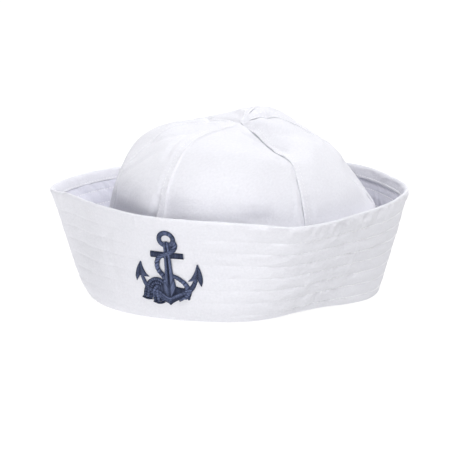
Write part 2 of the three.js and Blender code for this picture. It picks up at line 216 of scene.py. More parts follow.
# Dents in the crown: where their middles are, how wide they are in degrees, and how tall and
# deep in millimetres
DENTS = table("azimuth height wide tall depth", [
    (-9, 71, 7, 11, 3.0),
    (31, 67, 10, 8, 2.6),
])

# Soft folds in the crown, as valleys between two places. A place is an azimuth and a share of
# the way up the gore. Width and depth are in millimetres.
FOLDS = table("azimuth along to_azimuth to_along wide depth", [
    (30, 0.86, 45, 0.81, 2.4, 1.5),
    (33, 0.77, 44, 0.60, 2.2, 0.9),
    (54, 0.77, 58, 0.70, 1.8, 0.75),
    (104, 0.89, 110, 0.90, 3.0, 1.8),
    (64, 0.91, 74, 0.79, 4.0, 0.9),
    (74, 0.79, 86, 0.68, 4.5, 0.9),
    (-132, 0.75, -92, 0.92, 2.6, 2.1),
    (-150, 0.85, -160, 0.95, 2.6, 1.2),
    (-76, 0.69, -54, 0.84, 2.2, 1.2),
    (-21, 0.58, -25, 0.76, 3.4, 1.35),
    (-52, 0.48, -34, 0.60, 3.0, 0.9),
    (-55, 0.62, -30, 0.73, 2.8, 0.9),
    (-18, 0.33, -16, 0.41, 2.6, 1.8),
    (-46, 0.33, -34, 0.36, 9.0, 1.35),
    (45, 0.34, 46, 0.40, 3.4, 0.6),
    (140, 0.45, 150, 0.75, 4.0, 1.2),
    (205, 0.50, 196, 0.78, 4.0, 1.35),
    (255, 0.40, 250, 0.70, 5.0, 1.5),
])

# Soft folds down the brim's outside: places as an azimuth and millimetres down from the rim
BRIM_FOLDS = table("azimuth down to_azimuth to_down wide depth", [
    (-30, 22, -22, 72, 4.5, 0.55),
    (-26, 6, -29, 34, 4.5, 0.35),
    (-48, 30, -44, 70, 6.0, 0.5),
    (62, 0, 61, 7, 1.5, 1.1),
    (76, 40, 70, 74, 6.0, 0.5),
    (150, 12, 158, 66, 7.0, 0.7),
    (215, 20, 208, 72, 6.0, 0.6),
    (268, 8, 262, 60, 6.0, 0.5),
])

# How strongly the quilted brim puckers, round the cap: its outside, its hem and its inside. The
# last column is how deep its stitches lie in the cloth, in millimetres.
PUCKER = table("azimuth outside hem inside sunk", [
    (-90, 0.5, 0.5, 1.2, 0.3),
    (-40, 0.35, 0.3, 1.0, 0.42),
    (-5, 0.25, 0.2, 0.5, 0.48),
    (25, 0.5, 0.35, 0.6, 0.48),
    (50, 1.0, 1.2, 0.8, 0.2),
    (75, 0.9, 1.4, 0.6, -0.1),
    (100, 0.45, 1.0, 0.5, -0.05),
    (135, 0.5, 0.9, 0.5, 0.05),
    (180, 0.7, 0.7, 0.9, 0.3),
    (225, 0.7, 0.5, 1.0, 0.3),
])

# Hills are soft random relief in the cloth, in millimetres: how long they are along the rim or
# the seam, how wide across it, and how high. Each kind has a seed of its own, and the last two
# have one for each gore.
Hills = namedtuple("Hills", "long wide high seed")
BRIM_WAVES = Hills(42, 30, 0.5, 1)
BRIM_PATCHES = Hills(10, 4.2, 0.6, 2)
ROW_PUCKERS = Hills(4.4, 9, 0.75, 3)
BAND_PUCKERS = Hills(3.2, 16, 1.2, 4)
FACING_PUCKERS = Hills(4.0, 20, 0.8, 5)
FACING_PATCHES = Hills(12, 6, 0.12, 6)
HEM_RIBS = Hills(4.0, 25, 0.45, 7)
HEM_PATCHES = Hills(11, 9, 0.12, 8)
RIM_WAVES = Hills(34, 1, 0.35, 9)
RIM_RIPPLES = Hills(8, 1, 0.12, 10)
FELL_PUCKERS = Hills(3.4, 9, 0.26, 20)
SEAM_PUCKERS = Hills(5.2, 13, 0.42, 30)

# The crown's own hills: how many go round it, how tall and how high they are
CROWN_HILLS = table("count tall high seed", [
    (18, 30, 0.7, 40),
    (44, 13, 0.36, 41),
])


def around(places, values, azimuth):
    """Value at an azimuth, smooth all the way round the cap."""
    wrapped = places[0] + np.mod(np.asarray(azimuth, float) - places[0], TURN)
    k = np.clip(np.searchsorted(places, wrapped, side="right"), 1, len(places))
    at = np.concatenate([[places[-1] - TURN], places, places[:2] + TURN])
    value = np.concatenate([[values[-1]], values, values[:2]])
    width = at[k + 1] - at[k]
    slope = (value[k + 1] - value[k - 1]) / (at[k + 1] - at[k - 1])
    next_slope = (value[k + 2] - value[k]) / (at[k + 2] - at[k])
    f = (wrapped - at[k]) / width
    return ((2 * f**3 - 3 * f**2 + 1) * value[k] + (f**3 - 2 * f**2 + f) * width * slope
            + (3 * f**2 - 2 * f**3) * value[k + 1] + (f**3 - f**2) * width * next_slope)


def ease(share):
    """Smooth step from 0 to 1."""
    share = np.clip(share, 0, 1)
    return share * share * (3 - 2 * share)


def bell(distance, width):
    """1 at no distance, and down to nothing on both sides of it."""
    return np.exp(-(distance / width) ** 2)


def hills(x, y, seed, period=64, rows=64):
    """Smooth random hills from -1 to 1 at flat places. They repeat after a period along x."""
    heights = np.random.default_rng(seed).uniform(-1, 1, (period, rows))
    x, y = np.broadcast_arrays(x, y)
    column = np.floor(x).astype(int)
    row = np.floor(y).astype(int)
    fx = ease(x - column)
    fy = ease(y - row)

    def corner(i, j):
        return heights[(column + i) % period, (row + j) % rows]

    low = corner(0, 0) * (1 - fx) + corner(1, 0) * fx
    high = corner(0, 1) * (1 - fx) + corner(1, 1) * fx
    return low * (1 - fy) + high * fy


def polar(azimuth, radius, height, centre=(0.0, 0.0)):
    """Places at a radius and height in the half plane of each azimuth."""
    a = np.radians(azimuth)
    x = centre[0] + radius * np.sin(a)
    y = centre[1] - radius * np.cos(a)
    return np.stack(np.broadcast_arrays(x, y, height), axis=-1)


def surface_normals(places):
    """Unit normals of a grid of places, from its two directions."""
    first = np.gradient(places, axis=0)
    second = np.gradient(places, axis=1)
    normals = np.cross(first, second)
    return normals / np.maximum(np.linalg.norm(normals, axis=-1, keepdims=True), 1e-9)


# Meshes

def grid_faces(columns, rows, closed_columns):
    """Four-sided faces of a grid whose places are numbered column by column. Each column closes
    on itself, and the columns may too."""
    i = np.arange(columns if closed_columns else columns - 1)[:, None]
    j = np.arange(rows)[None, :]
    i2 = (i + 1) % columns
    j2 = (j + 1) % rows
    corners = [i * rows + j, i * rows + j2, i2 * rows + j2, i2 * rows + j]
    return np.stack(np.broadcast_arrays(*corners), axis=-1).reshape(-1, 4)


def grid_cloth(cloth):
    """The cloth place of every face corner of such a grid, as its weave runs."""
    corners = [cloth[:-1, :-1], cloth[:-1, 1:], cloth[1:, 1:], cloth[1:, :-1]]
    return np.stack(corners, axis=2).reshape(-1, 2)


def volume(places, faces):
    """Signed volume inside four-sided faces: negative when they are turned in."""
    a, b, c, d = (places[faces[:, k]] for k in range(4))
    whole = np.einsum("ij,ij->i", a, np.cross(b, c)) + np.einsum("ij,ij->i", a, np.cross(c, d))
    return whole.sum() / 6


def make_piece(name, places, faces, finish, cloth=None, tone=None):
    """A smooth mesh object in metres that rides on the cap."""
    mesh = bpy.data.meshes.new(name)
    mesh.from_pydata((places * MM).tolist(), [], faces)
    mesh.polygons.foreach_set("use_smooth", np.ones(len(mesh.polygons), bool))
    if cloth is not None:
        layer = mesh.uv_layers.new(name="cloth")
        layer.data.foreach_set("uv", cloth.astype(np.float32).ravel())
    if tone is not None:
        layer = mesh.attributes.new("tone", "FLOAT", "POINT")
        layer.data.foreach_set("value", tone.astype(np.float32).ravel())
    mesh.materials.append(finish)
    mesh.update()
    made = bpy.data.objects.new(name, mesh)
    bpy.context.scene.collection.objects.link(made)
    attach(made, "root")
    return made


def closed_piece(name, places, faces, corners, finish):
    """A closed body from places and four-sided faces, which are turned outwards first."""
    if volume(places, faces) < 0:
        faces = faces[:, ::-1]
        corners = corners.reshape(-1, 4, 2)[:, ::-1].reshape(-1, 2)
    return make_piece(name, places, faces.tolist(), finish, corners)


def tubes(paths, radii, normals, sides):
    """Places and faces of many round threads. A path is a row of places, with one radius each."""
    count, steps = paths.shape[:2]
    along = np.gradient(paths, axis=1)
    along /= np.linalg.norm(along, axis=-1, keepdims=True)
    across = np.cross(along, normals)
    across /= np.linalg.norm(across, axis=-1, keepdims=True)
    out = np.cross(across, along)
    angles = TAU * np.arange(sides) / sides
    ring = (across[:, :, None] * np.cos(angles)[:, None] + out[:, :, None] * np.sin(angles)[:, None])
    places = paths[:, :, None] + ring * radii[..., None, None]
    one = grid_faces(steps, sides, False)
    first = np.arange(sides)
    last = (steps - 1) * sides + np.arange(sides)[::-1]
    starts = np.arange(count) * steps * sides
    walls = (starts[:, None, None] + one[None]).reshape(-1, 4)
    ends = [(start + end).tolist() for start in starts for end in (first, last)]
    return places.reshape(-1, 3), walls.tolist() + ends


# Materials

class Value:
    """A socket of a material that takes part in Python's arithmetic."""

    def __init__(self, finish, socket):
        self.finish = finish
        self.socket = socket

    def maths(self, operation, *others):
        """This value and others through a Math node."""
        return self.finish.maths(operation, self, *others)

    def __add__(self, other):
        return self.maths("ADD", other)

    def __sub__(self, other):
        return self.maths("SUBTRACT", other)

    def __rsub__(self, other):
        return self.finish.maths("SUBTRACT", other, self)

    def __mul__(self, other):
        return self.maths("MULTIPLY", other)

    __radd__ = __add__
    __rmul__ = __mul__

    def sine(self):
        return self.maths("SINE")

    def clamped(self):
        return self.maths("MAXIMUM", 0.0).maths("MINIMUM", 1.0)


class Finish:
    """A material whose nodes are added one by one."""

    # Places of a Mix node's sockets where it mixes colours
    MIX_FIRST = 6
    MIX_SECOND = 7
    MIX_RESULT = 2

    def __init__(self, name, **constants):
        self.material = bpy.data.materials.new(name)
        self.material.use_nodes = True
        self.nodes = self.material.node_tree.nodes
        self.links = self.material.node_tree.links
        self.shader = self.nodes["Principled BSDF"]
        for socket, value in constants.items():
            self.shader.inputs[socket.replace("_", " ")].default_value = value

    def node(self, kind, settings, sockets, output=0):
        """Adds a node: its settings first, then the values or links of its sockets."""
        made = self.nodes.new(kind)
        for name, setting in settings.items():
            setattr(made, name, setting)
        for place, value in sockets.items():
            if isinstance(value, Value):
                self.links.new(value.socket, made.inputs[place])
            else:
                made.inputs[place].default_value = value
        return Value(self, made.outputs[output])

    def maths(self, operation, *values):
        return self.node("ShaderNodeMath", {"operation": operation}, dict(enumerate(values)))

    def mix(self, share, first, second):
        """Colour between two others."""
        sockets = {0: share, self.MIX_FIRST: (*first, 1), self.MIX_SECOND: (*second, 1)}
        return self.node("ShaderNodeMix", {"data_type": "RGBA"}, sockets, self.MIX_RESULT)

    def object_place(self):
        return self.node("ShaderNodeTexCoord", {}, {}, "Object")

    def noise(self, place, scale, detail=2.0):
        sockets = {"Vector": place, "Scale": scale, "Detail": detail}
        return self.node("ShaderNodeTexNoise", {}, sockets)

    def feed(self, socket, value):
        self.links.new(value.socket, self.shader.inputs[socket])

    def bump(self, height, distance):
        self.feed("Normal", self.node("ShaderNodeBump", {}, {"Distance": distance, "Height": height}))


def twill(name, bright, dull, wale_pitch, wale_height):
    """Bleached cotton twill: steep wales, slubs in the yarn and faint clouding."""
    finish = Finish(name, Roughness=0.85, Sheen_Weight=0.12, Sheen_Roughness=0.5, Specular_IOR_Level=0.25)
    cloth = finish.node("ShaderNodeUVMap", {"uv_map": "cloth"}, {})
    across = finish.node("ShaderNodeSeparateXYZ", {}, {0: cloth}, "X")
    up = finish.node("ShaderNodeSeparateXYZ", {}, {0: cloth}, "Y")
    slubs = finish.noise(cloth, 0.9, 3.0)
    rumples = finish.noise(cloth, 0.22)
    clouds = finish.noise(cloth, 0.035, 3.0)
    fuzz = finish.noise(cloth, 5.0)
    grain = finish.noise(cloth, 0.6, 3.0)
    wales = ((across * 0.88 + up * 0.47) * (TAU / wale_pitch) + slubs * 2.4).sine()
    share = (clouds * 0.9 + grain * 1.6 + wales * 0.1 + fuzz * 0.2 - 0.85).clamped()
    finish.feed("Base Color", finish.mix(share, dull, bright))
    finish.bump(wales * 0.6 + fuzz * 1.2 + slubs * 3 + rumples * 7, wale_height * MM)
    return finish.material


def white_thread():
    """Spun cotton sewing thread, with fuzz and faint clouding."""
    finish = Finish("white_thread", Roughness=0.7, Sheen_Weight=0.1)
    place = finish.object_place()
    fuzz = finish.noise(place, 2500.0)
    clouds = finish.noise(place, 300.0)
    # The thread is lighter than the cloth: partly its own whiter colour, partly painted light that makes up
    # for the shade round the raised stitches.
    finish.feed("Base Color", finish.mix(clouds, (0.92, 0.92, 0.95), (0.97, 0.97, 0.99)))
    finish.bump(fuzz, 0.05 * MM)
    return finish.material


def navy_thread():
    """Rayon embroidery thread, coloured from each thread's tone: painted shade in the dips, a painted
    blue-grey highlight where it would catch the light.
    """
    finish = Finish("navy_thread", Roughness=0.5, Specular_IOR_Level=0.18)
    tone = finish.node("ShaderNodeAttribute", {"attribute_name": "tone"}, {}, "Fac")
    fuzz = finish.noise(finish.object_place(), 2200.0)
    share = (tone + fuzz * 0.24 - 0.12).clamped()
    finish.feed("Base Color", finish.mix(share, (0.004, 0.008, 0.026), (0.24, 0.29, 0.49)))
    finish.feed("Roughness", fuzz * 0.2 + 0.4)
    finish.bump(fuzz, 0.04 * MM)
    return finish.material


# Brim

def brim_value(azimuth, column):
    """A column of the brim's table at an azimuth."""
    return around(BRIM["azimuth"], BRIM[column], azimuth)


def foot_height(azimuth):
    """How far the foot is clear of the surface below."""
    return np.maximum(brim_value(azimuth, "foot_height"), 0)


def brim_line(azimuth):
    """Foot radius and height, and how far the brim runs out and rises to its rim."""
    foot = foot_height(azimuth)
    radius = brim_value(azimuth, "foot_radius")
    run = brim_value(azimuth, "rim_radius") - radius
    return radius, foot, run, brim_value(azimuth, "rim_height") - foot


def brim_profile(azimuth, up, proud=0.0, depth=0.0):
    """Radius and height on the brim from its foot, 0, to its rim, 1. The place is moved inwards
    through the plies by a depth, and proud of the cloth at right angles to it."""
    radius, foot, run, rise = brim_line(azimuth)
    slant = np.hypot(run, rise)
    bump = np.sin(np.pi * np.power(np.clip(up, 0, 1), BELLY_PEAK)) ** 2 * brim_value(azimuth, "belly")
    lift = (bump + proud) / slant
    return radius + run * up + rise * lift - depth * slant / rise, foot + rise * up - run * lift


def brim_slant(azimuth):
    """Straight distance from the foot to the rim."""
    return np.hypot(*brim_line(azimuth)[2:])


def valley(x, y, end_x, end_y, wide):
    """A soft valley, 1 deep, along the line from the origin to an end place."""
    length = end_x**2 + end_y**2
    share = np.clip((x * end_x + y * end_y) / length, 0, 1)
    return np.exp(-((x - share * end_x) ** 2 + (y - share * end_y) ** 2) / wide**2)


def nearest_turn(angle):
    """The same angle between half a turn back and half a turn on."""
    return np.mod(angle + TURN / 2, TURN) - TURN / 2


def brim_hills(azimuth, down, kind):
    """Hills of one kind at places round the brim and down it."""
    count = round(TAU * BRIM_RADIUS / kind.long)
    return kind.high * hills(np.mod(azimuth, TURN) / TURN * count, down / kind.wide + 20, kind.seed, count)


def quilting(down, groove, puff):
    """Grooves where the rows of stitches pull the cloth in, and the puffs between them."""
    phase = (down - ROW_FIRST) / ROW_STEP
    between = np.where((phase > 0) & (phase < ROW_COUNT - 0.5), np.sin(np.pi * phase) ** 2, 0)
    return puff * between - groove * sum(bell(down - row, GROOVE_WIDTH) for row in ROWS)


def pucker(azimuth, column):
    """A column of the puckers' table at an azimuth."""
    return around(PUCKER["azimuth"], PUCKER[column], azimuth)


def brim_folds(azimuth, down):
    """Depth of the soft folds in the brim's outside."""
    depth = 0
    for start, from_down, end, to_down, wide, deep in zip(*BRIM_FOLDS.values()):
        x = np.radians(nearest_turn(azimuth - start)) * BRIM_RADIUS
        end_x = np.radians(end - start) * BRIM_RADIUS
        depth = depth + deep * valley(x, down - from_down, end_x, to_down - from_down, wide)
    return depth


def outside_relief(azimuth, down):
    """How far the brim's outside stands off its plain form."""
    strength = pucker(azimuth, "outside")
    rough = strength**1.5
    near_row = bell(np.min([np.abs(down - row) for row in ROWS], axis=0), 2.6)
    relief = quilting(down, OUTSIDE_GROOVE, OUTSIDE_PUFF) * (0.1 + 0.9 * strength**1.3)
    relief = relief + brim_hills(azimuth, down, BRIM_WAVES) * ease(down / 20)
    relief = relief + rough * brim_hills(azimuth, down, BRIM_PATCHES)
    relief = relief + rough * near_row * brim_hills(azimuth, down, ROW_PUCKERS)
    band = pucker(azimuth, "hem") * bell(down - 5, 5.5)
    relief = relief + band * brim_hills(azimuth, down, BAND_PUCKERS)
    return relief - brim_folds(azimuth, down)


def inside_relief(azimuth, down):
    """How far the brim's inside face stands off its plain form, towards the crown."""
    slanted = brim_hills(azimuth + down * 0.4, down, FACING_PUCKERS)
    patches = brim_hills(azimuth, down, FACING_PATCHES)
    return quilting(down, INSIDE_GROOVE, INSIDE_PUFF) + pucker(azimuth, "inside") * (slanted + patches)


def hem_relief(azimuth, down):
    """The same on the hem, which is ribbed by short puckers at the right and the back."""
    ribs = pucker(azimuth, "hem") * bell(down - 4.5, 4) * brim_hills(azimuth, down, HEM_RIBS)
    row = 0.16 * bell(down - (HEM_DEPTH - HEM_ROW), 0.6)
    return ribs - row + brim_hills(azimuth, down, HEM_PATCHES)


def rim_sway(azimuth):
    """Small ups and downs of the rim."""
    return brim_hills(azimuth, 0, RIM_WAVES) + brim_hills(azimuth, 0, RIM_RIPPLES)


def row_stations(first, last, spacing):
    """Distances down the brim, with more of them across each row of stitches."""
    close = np.concatenate([row + ROW_COLUMNS for row in ROWS])
    close = close[(close > first + 0.3) & (close < last - 0.3)]
    marks = np.concatenate([[first], close, [last]])
    extra = []
    for low, high in zip(marks[:-1], marks[1:]):
        count = int((high - low) / spacing)
        extra.extend(low + (high - low) * np.arange(1, count + 1) / (count + 1))
    return np.sort(np.concatenate([marks, extra]))


# Sections of the outer ply, in their order round it. Each gives radii and heights.

def outside_section(azimuth):
    """The outside, from the top of its rounded foot up to the rim."""
    down = row_stations(RIM_DROP, BRIM_DEPTH - FOOT_ROUND, 1.5)[::-1, None]
    up = 1 - down / BRIM_DEPTH
    radii, heights = brim_profile(azimuth, up, outside_relief(azimuth, down) * ease(up * 12))
    return radii, heights + rim_sway(azimuth) * bell(down, RIM_FADE)


def foot_section(azimuth, low):
    """The underside of the foot's seam, and its round bend up to the lowest place outside."""
    radius = brim_value(azimuth, "foot_radius")
    foot = foot_height(azimuth)
    inner = radius - FOOT_WIDTH * np.array([[1.0], [0.9]])
    share = np.linspace(0, 1, 6)[:, None]

    def bend(start, corner, end):
        return start * (1 - share) ** 2 + 2 * corner * share * (1 - share) + end * share**2

    radii = np.concatenate([inner, bend(radius - FOOT_FLAT, radius, low[0])])
    heights = np.concatenate([foot + 0 * inner, bend(foot, foot, low[1])])
    return radii, heights


def rim_section(azimuth):
    """The rim: most of half an ellipse over the cloth's whole thickness."""
    _, _, run, rise = brim_line(azimuth)
    slant = np.hypot(run, rise)
    lean = run / slant
    turn = np.radians(np.linspace(20, 160, 9))[:, None]
    radius, height = brim_profile(azimuth, 1 - RIM_DROP / BRIM_DEPTH, 0, RIM_THICKNESS / 2)
    half = RIM_THICKNESS / 2 * slant / rise
    lift = RIM_DROP * np.sin(turn)
    radii = radius + half * np.cos(turn) + lift * lean
    return radii, height + lift * np.sqrt(1 - lean**2) + rim_sway(azimuth)


def hem_section(azimuth):
    """The hem's face inside, down across its row of stitches."""
    near_row = HEM_DEPTH - HEM_ROW - np.array([0.5, 0, -0.5, -1.0])
    down = np.concatenate([np.linspace(RIM_DROP, HEM_DEPTH - 2.6, 6), near_row])[:, None]
    radii, heights = brim_profile(azimuth, 1 - down / BRIM_DEPTH, -hem_relief(azimuth, down), RIM_THICKNESS)
    return radii, heights + rim_sway(azimuth) * bell(down, RIM_FADE)


def hem_step(azimuth):
    """The hem's edge, from its face out to the hidden back of the ply."""
    down = HEM_DEPTH + np.array([[0.0], [0.25], [0.3], [0.6]])
    depth = np.array([[RIM_THICKNESS - 0.2], [RIM_THICKNESS - HEM_PROUD], [PLY + 0.3], [PLY]])
    return brim_profile(azimuth, 1 - down / BRIM_DEPTH, 0, depth)


def hidden_back(azimuth):
    """The back of the ply, which the facing covers."""
    down = np.linspace(HEM_DEPTH + 4, BRIM_DEPTH - FOOT_HEIGHT - 2.5, 9)[:, None]
    return brim_profile(azimuth, 1 - down / BRIM_DEPTH, 0, PLY)


def foot_seam(azimuth):
    """The top of the foot's seam and its inner side, down to the surface below."""
    radius = brim_value(azimuth, "foot_radius")
    foot = foot_height(azimuth)
    wall = brim_profile(azimuth, (FOOT_HEIGHT + 0.6) / brim_slant(azimuth), 0, PLY)
    top = foot + FOOT_HEIGHT
    inner = radius - FOOT_WIDTH
    radii = [wall[0], radius - CROWN_INSET, inner + 0.7]
    heights = [np.maximum(wall[1], top + 0.2), top, top]
    for inset, share in ((0.15, 0.88), (0.0, 0.6), (0.0, 0.3), (0.12, 0.08)):
        radii.append(inner + inset)
        heights.append(foot + FOOT_HEIGHT * share)
    return np.stack(radii), np.stack(heights)


def outer_sections(azimuth):
    """Radii and heights all round the outer ply: foot, outside, rim, hem, back and foot seam."""
    radii, heights = outside_section(azimuth)
    sections = [
        foot_section(azimuth, (radii[:1], heights[:1])),
        (radii[1:], heights[1:]),
        rim_section(azimuth),
        hem_section(azimuth),
        hem_step(azimuth),
        hidden_back(azimuth),
        foot_seam(azimuth),
    ]
    radii, heights = (np.concatenate(part) for part in zip(*sections))
    return radii, np.maximum(heights, 0)


def ring_cloth(azimuth, radii, heights):
    """Where each place of a ring of sections lies in its cloth, in millimetres."""
    closed_radii = np.concatenate([radii, radii[:1]])
    closed_heights = np.concatenate([heights, heights[:1]])
    steps = np.hypot(np.diff(closed_radii, axis=0), np.diff(closed_heights, axis=0)).mean(axis=1)
    length = np.concatenate([[0], np.cumsum(steps)])
    along = np.concatenate([azimuth, [azimuth[0] + TURN]]) * (TAU * BRIM_RADIUS / TURN)
    return np.stack(np.meshgrid(along, length, indexing="ij"), axis=-1)


def ring_piece(name, azimuth, radii, heights, finish, slot):
    """A ring all round the brim from the radii and heights of its closed section."""
    places = polar(azimuth[:, None], radii.T, heights.T)
    faces = grid_faces(len(azimuth), len(radii), True)
    corners = grid_cloth(ring_cloth(azimuth, radii, heights))
    return closed_piece(name, places.reshape(-1, 3), faces, corners, finish)


def brim_outer(finish):
    """The outside ply with its hem turned in and the seam at its foot."""
    azimuth = np.arange(OUTER_COLUMNS) * (TURN / OUTER_COLUMNS)
    made = ring_piece("brim_outer_cloth", azimuth, *outer_sections(azimuth), finish, "white_twill")
    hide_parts("brim_outer")


def brim_facing(finish):
    """The inside ply, from the foot seam up to the hem, with its hidden back."""
    azimuth = np.arange(FACING_COLUMNS) * (TURN / FACING_COLUMNS)
    high = HEM_DEPTH - 0.3
    low = BRIM_DEPTH - (FOOT_HEIGHT + 1.2)
    down = row_stations(high, low, 1.6)[::-1, None]
    fade = ease((down - high) / 2) * ease((low - down) / 3)
    relief = inside_relief(azimuth, down) * fade - FACING_TUCK * bell(down - HEM_DEPTH - 0.9, 0.7)
    inside = brim_profile(azimuth, 1 - down / BRIM_DEPTH, -relief, 2 * PLY + FACING_GAP)
    down = np.linspace(high, low, 12)[:, None]
    back = brim_profile(azimuth, 1 - down / BRIM_DEPTH, 0, PLY + FACING_GAP / 2)
    radii, heights = (np.concatenate(part) for part in zip(inside, back))
    heights = np.maximum(heights, foot_height(azimuth) + FOOT_HEIGHT + SEAM_CLEAR)
    made = ring_piece("brim_facing_cloth", azimuth, radii, heights, finish, "white_facing")
    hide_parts("brim_inner")


# Crown

def crown_places():
    """Azimuths of the crown's table: every seam, and halfway to the next."""
    seams = np.array(SEAM_AZIMUTHS + [SEAM_AZIMUTHS[0] + TURN], float)
    middles = (seams[:-1] + seams[1:]) / 2
    return np.stack([seams[:-1], middles], axis=1).ravel()


CROWN_PLACES = crown_places()


def crown_value(azimuth, column):
    """A column of the crown's table at an azimuth."""
    return around(CROWN_PLACES, CROWN[column], azimuth)


def smooth_line(points, steps):
    """Even-handed smooth line through points, whose first axis counts them."""
    points = np.asarray(points, float)
    ring = np.concatenate([[2 * points[0] - points[1]], points, [2 * points[-1] - points[-2]]])
    f = np.linspace(0, 1, steps, endpoint=False).reshape((-1,) + (1,) * (points.ndim - 1))
    parts = []
    for p0, p1, p2, p3 in zip(ring, ring[1:], ring[2:], ring[3:]):
        d0, d1, d2 = (np.maximum(np.sum((b - a) ** 2, axis=0), 1e-12) ** 0.25
                      for a, b in ((p0, p1), (p1, p2), (p2, p3)))
        t1 = ((p1 - p0) / d0 - (p2 - p0) / (d0 + d1) + (p2 - p1) / d1) * d1
        t2 = ((p2 - p1) / d1 - (p3 - p1) / (d1 + d2) + (p3 - p2) / d2) * d1
        parts.append((2 * f**3 - 3 * f**2 + 1) * p1 + (f**3 - 2 * f**2 + f) * t1
                     + (3 * f**2 - 2 * f**3) * p2 + (f**3 - f**2) * t2)
    return np.concatenate(parts + [points[-1:]])


def meridians(azimuth, along):
    """Radius and height of the crown's outside at shares of its length up each meridian."""
    foot = foot_height(azimuth) + FOOT_HEIGHT + SEAM_CLEAR
    one = np.ones_like(azimuth)
    points = np.array([
        [brim_value(azimuth, "foot_radius") - CROWN_INSET, foot],
        [crown_value(azimuth, "radius35"), 35 * one],
        [crown_value(azimuth, "radius60"), 60 * one],
        [crown_value(azimuth, "radius85"), 85 * one],
        [70 * one, crown_value(azimuth, "height70")],
        [48 * one, crown_value(azimuth, "height48")],
        [20 * one, crown_value(azimuth, "height20")],
        [JUNCTION_RADIUS * one, JUNCTION_HEIGHT * one],
    ])
    line = smooth_line(points, 20)
    steps = np.hypot(*np.moveaxis(np.diff(line, axis=0), 1, 0))
    length = np.concatenate([0 * steps[:1], np.cumsum(steps, axis=0)])
    radius = np.empty((len(along), len(azimuth)))
    height = np.empty_like(radius)
    for i in range(len(azimuth)):
        at = along * length[-1, i]
        radius[:, i] = np.interp(at, length[:, i], line[:, 0, i])
        height[:, i] = np.interp(at, length[:, i], line[:, 1, i])
    return radius, height, length[-1].mean()


def crown_dents(azimuth, height):
    """Depth of the dents in the crown."""
    depth = 0
    for middle, level, wide, tall, deep in zip(*DENTS.values()):
        depth = depth + deep * np.exp(-((azimuth - middle) / wide) ** 2 - ((height - level) / tall) ** 2)
    return depth


def crown_folds(azimuth, up, rough, length):
    """Depth of the soft folds in the crown, which is so long and so wide at each place."""
    depth = 0
    for start, from_along, end, to_along, wide, deep in zip(*FOLDS.values()):
        x = np.radians(nearest_turn(azimuth - start)) * rough
        end_x = np.radians(end - start) * rough
        rise = (to_along - from_along) * length
        depth = depth + deep * valley(x, up - from_along * length, end_x, rise, wide)
    return depth


def crown_hills(azimuth, up):
    """The crown's own soft unevenness."""
    height = 0
    for count, tall, high, seed in zip(*CROWN_HILLS.values()):
        height = height + high * hills(azimuth / TURN * count, up / tall + 9, int(seed), int(count))
    return height


class Gore:
    """The form of one gore's outside, on which its cloth and its stitches are placed."""

    def __init__(self, number):
        self.number = number
        self.start = float(SEAM_AZIMUTHS[number])
        self.end = float((SEAM_AZIMUTHS + [SEAM_AZIMUTHS[0] + TURN])[number + 1])
        self.along = np.linspace(0, 1, 221)
        self.azimuths = np.linspace(self.start, self.end, 61)
        self.radius, self.height, self.length = meridians(self.azimuths, self.along)
        self.rough = self.radius[:, len(self.azimuths) // 2]
        self.width = np.radians(self.end - self.start) * self.rough
        self.fell_scale = np.minimum(1, FELL_SHARE * self.width / FELL_WIDTH)

    def at(self, across, along):
        """Places across the gore, in millimetres from its seam, at shares of its length."""
        rough = np.interp(along, self.along, self.rough)
        azimuth = self.start + np.degrees(across / rough)
        share = np.clip((azimuth - self.start) / (self.end - self.start), 0, 1)
        column = share * (len(self.azimuths) - 1)
        row = along * (len(self.along) - 1)
        radius = bilinear(self.radius, row, column)
        height = bilinear(self.height, row, column)
        lean = np.minimum((height - FOOT_HEIGHT) / LEAN_HEIGHT, 1) * (along > 0)
        return polar(azimuth, radius, height, [axis * lean for axis in LEAN]), azimuth

    def fell(self, across, left, scale):
        """The felled seam at the gore's own edge, and the cloth that dips to the next gore's."""
        edge = np.clip(across / (FELL_FOLD * scale), 0, 1)
        soft = FELL["soft"][self.number]
        end = ease((across - (FELL_END - soft) * scale) / (soft * scale))
        relief = FELL_PROUD * np.sqrt(1 - (1 - edge) ** 2) * (1 - end)
        for middle, wide, depth in zip(*FELL_GROOVES.values()):
            relief = relief - depth * bell(across - middle * scale, wide)
        relief = relief + FELL["ridge"][self.number] * bell(across - FELL_WIDTH * scale, 0.8)
        groove = FELL["groove"][(self.number + 1) % GORE_COUNT]
        return scale * (relief - groove * bell(left, 1.2) + 0.24 * bell(left - 3.5, 1.8))

    def puckers(self, across, left, up, scale):
        """Fine puckers on the fell, and wider ones that fade from both of the gore's seams."""
        fine = hills(up / FELL_PUCKERS.long + 7, across / FELL_PUCKERS.wide, FELL_PUCKERS.seed + self.number)
        slanted = (across + up * 0.4) / SEAM_PUCKERS.wide
        broad = hills(up / SEAM_PUCKERS.long + 3, slanted, SEAM_PUCKERS.seed + self.number)
        on_fell = bell(across - FELL_WIDTH / 2 * scale, 1.8)
        beside = np.exp(-np.maximum(across - FELL_WIDTH * scale, 0) / 7) + np.exp(-left / 6)
        return FELL_PUCKERS.high * on_fell * fine + SEAM_PUCKERS.high * beside * broad

    def relief(self, across, along, azimuth, height):
        """How far the cloth stands off the plain form."""
        width = np.interp(along, self.along, self.width)
        scale = np.interp(along, self.along, self.fell_scale)
        rough = np.interp(along, self.along, self.rough)
        up = along * self.length
        calm = np.sin(np.pi * np.clip(along, 0, 1)) ** 0.5
        relief = PILLOW * np.sin(np.pi * np.clip(across / width, 0, 1)) + crown_hills(azimuth, up)
        relief = relief * calm - crown_dents(azimuth, height)
        relief = relief - crown_folds(azimuth, up, rough, self.length)
        relief = relief + self.fell(across, width - across, scale)
        return relief + self.puckers(across, width - across, up, scale)


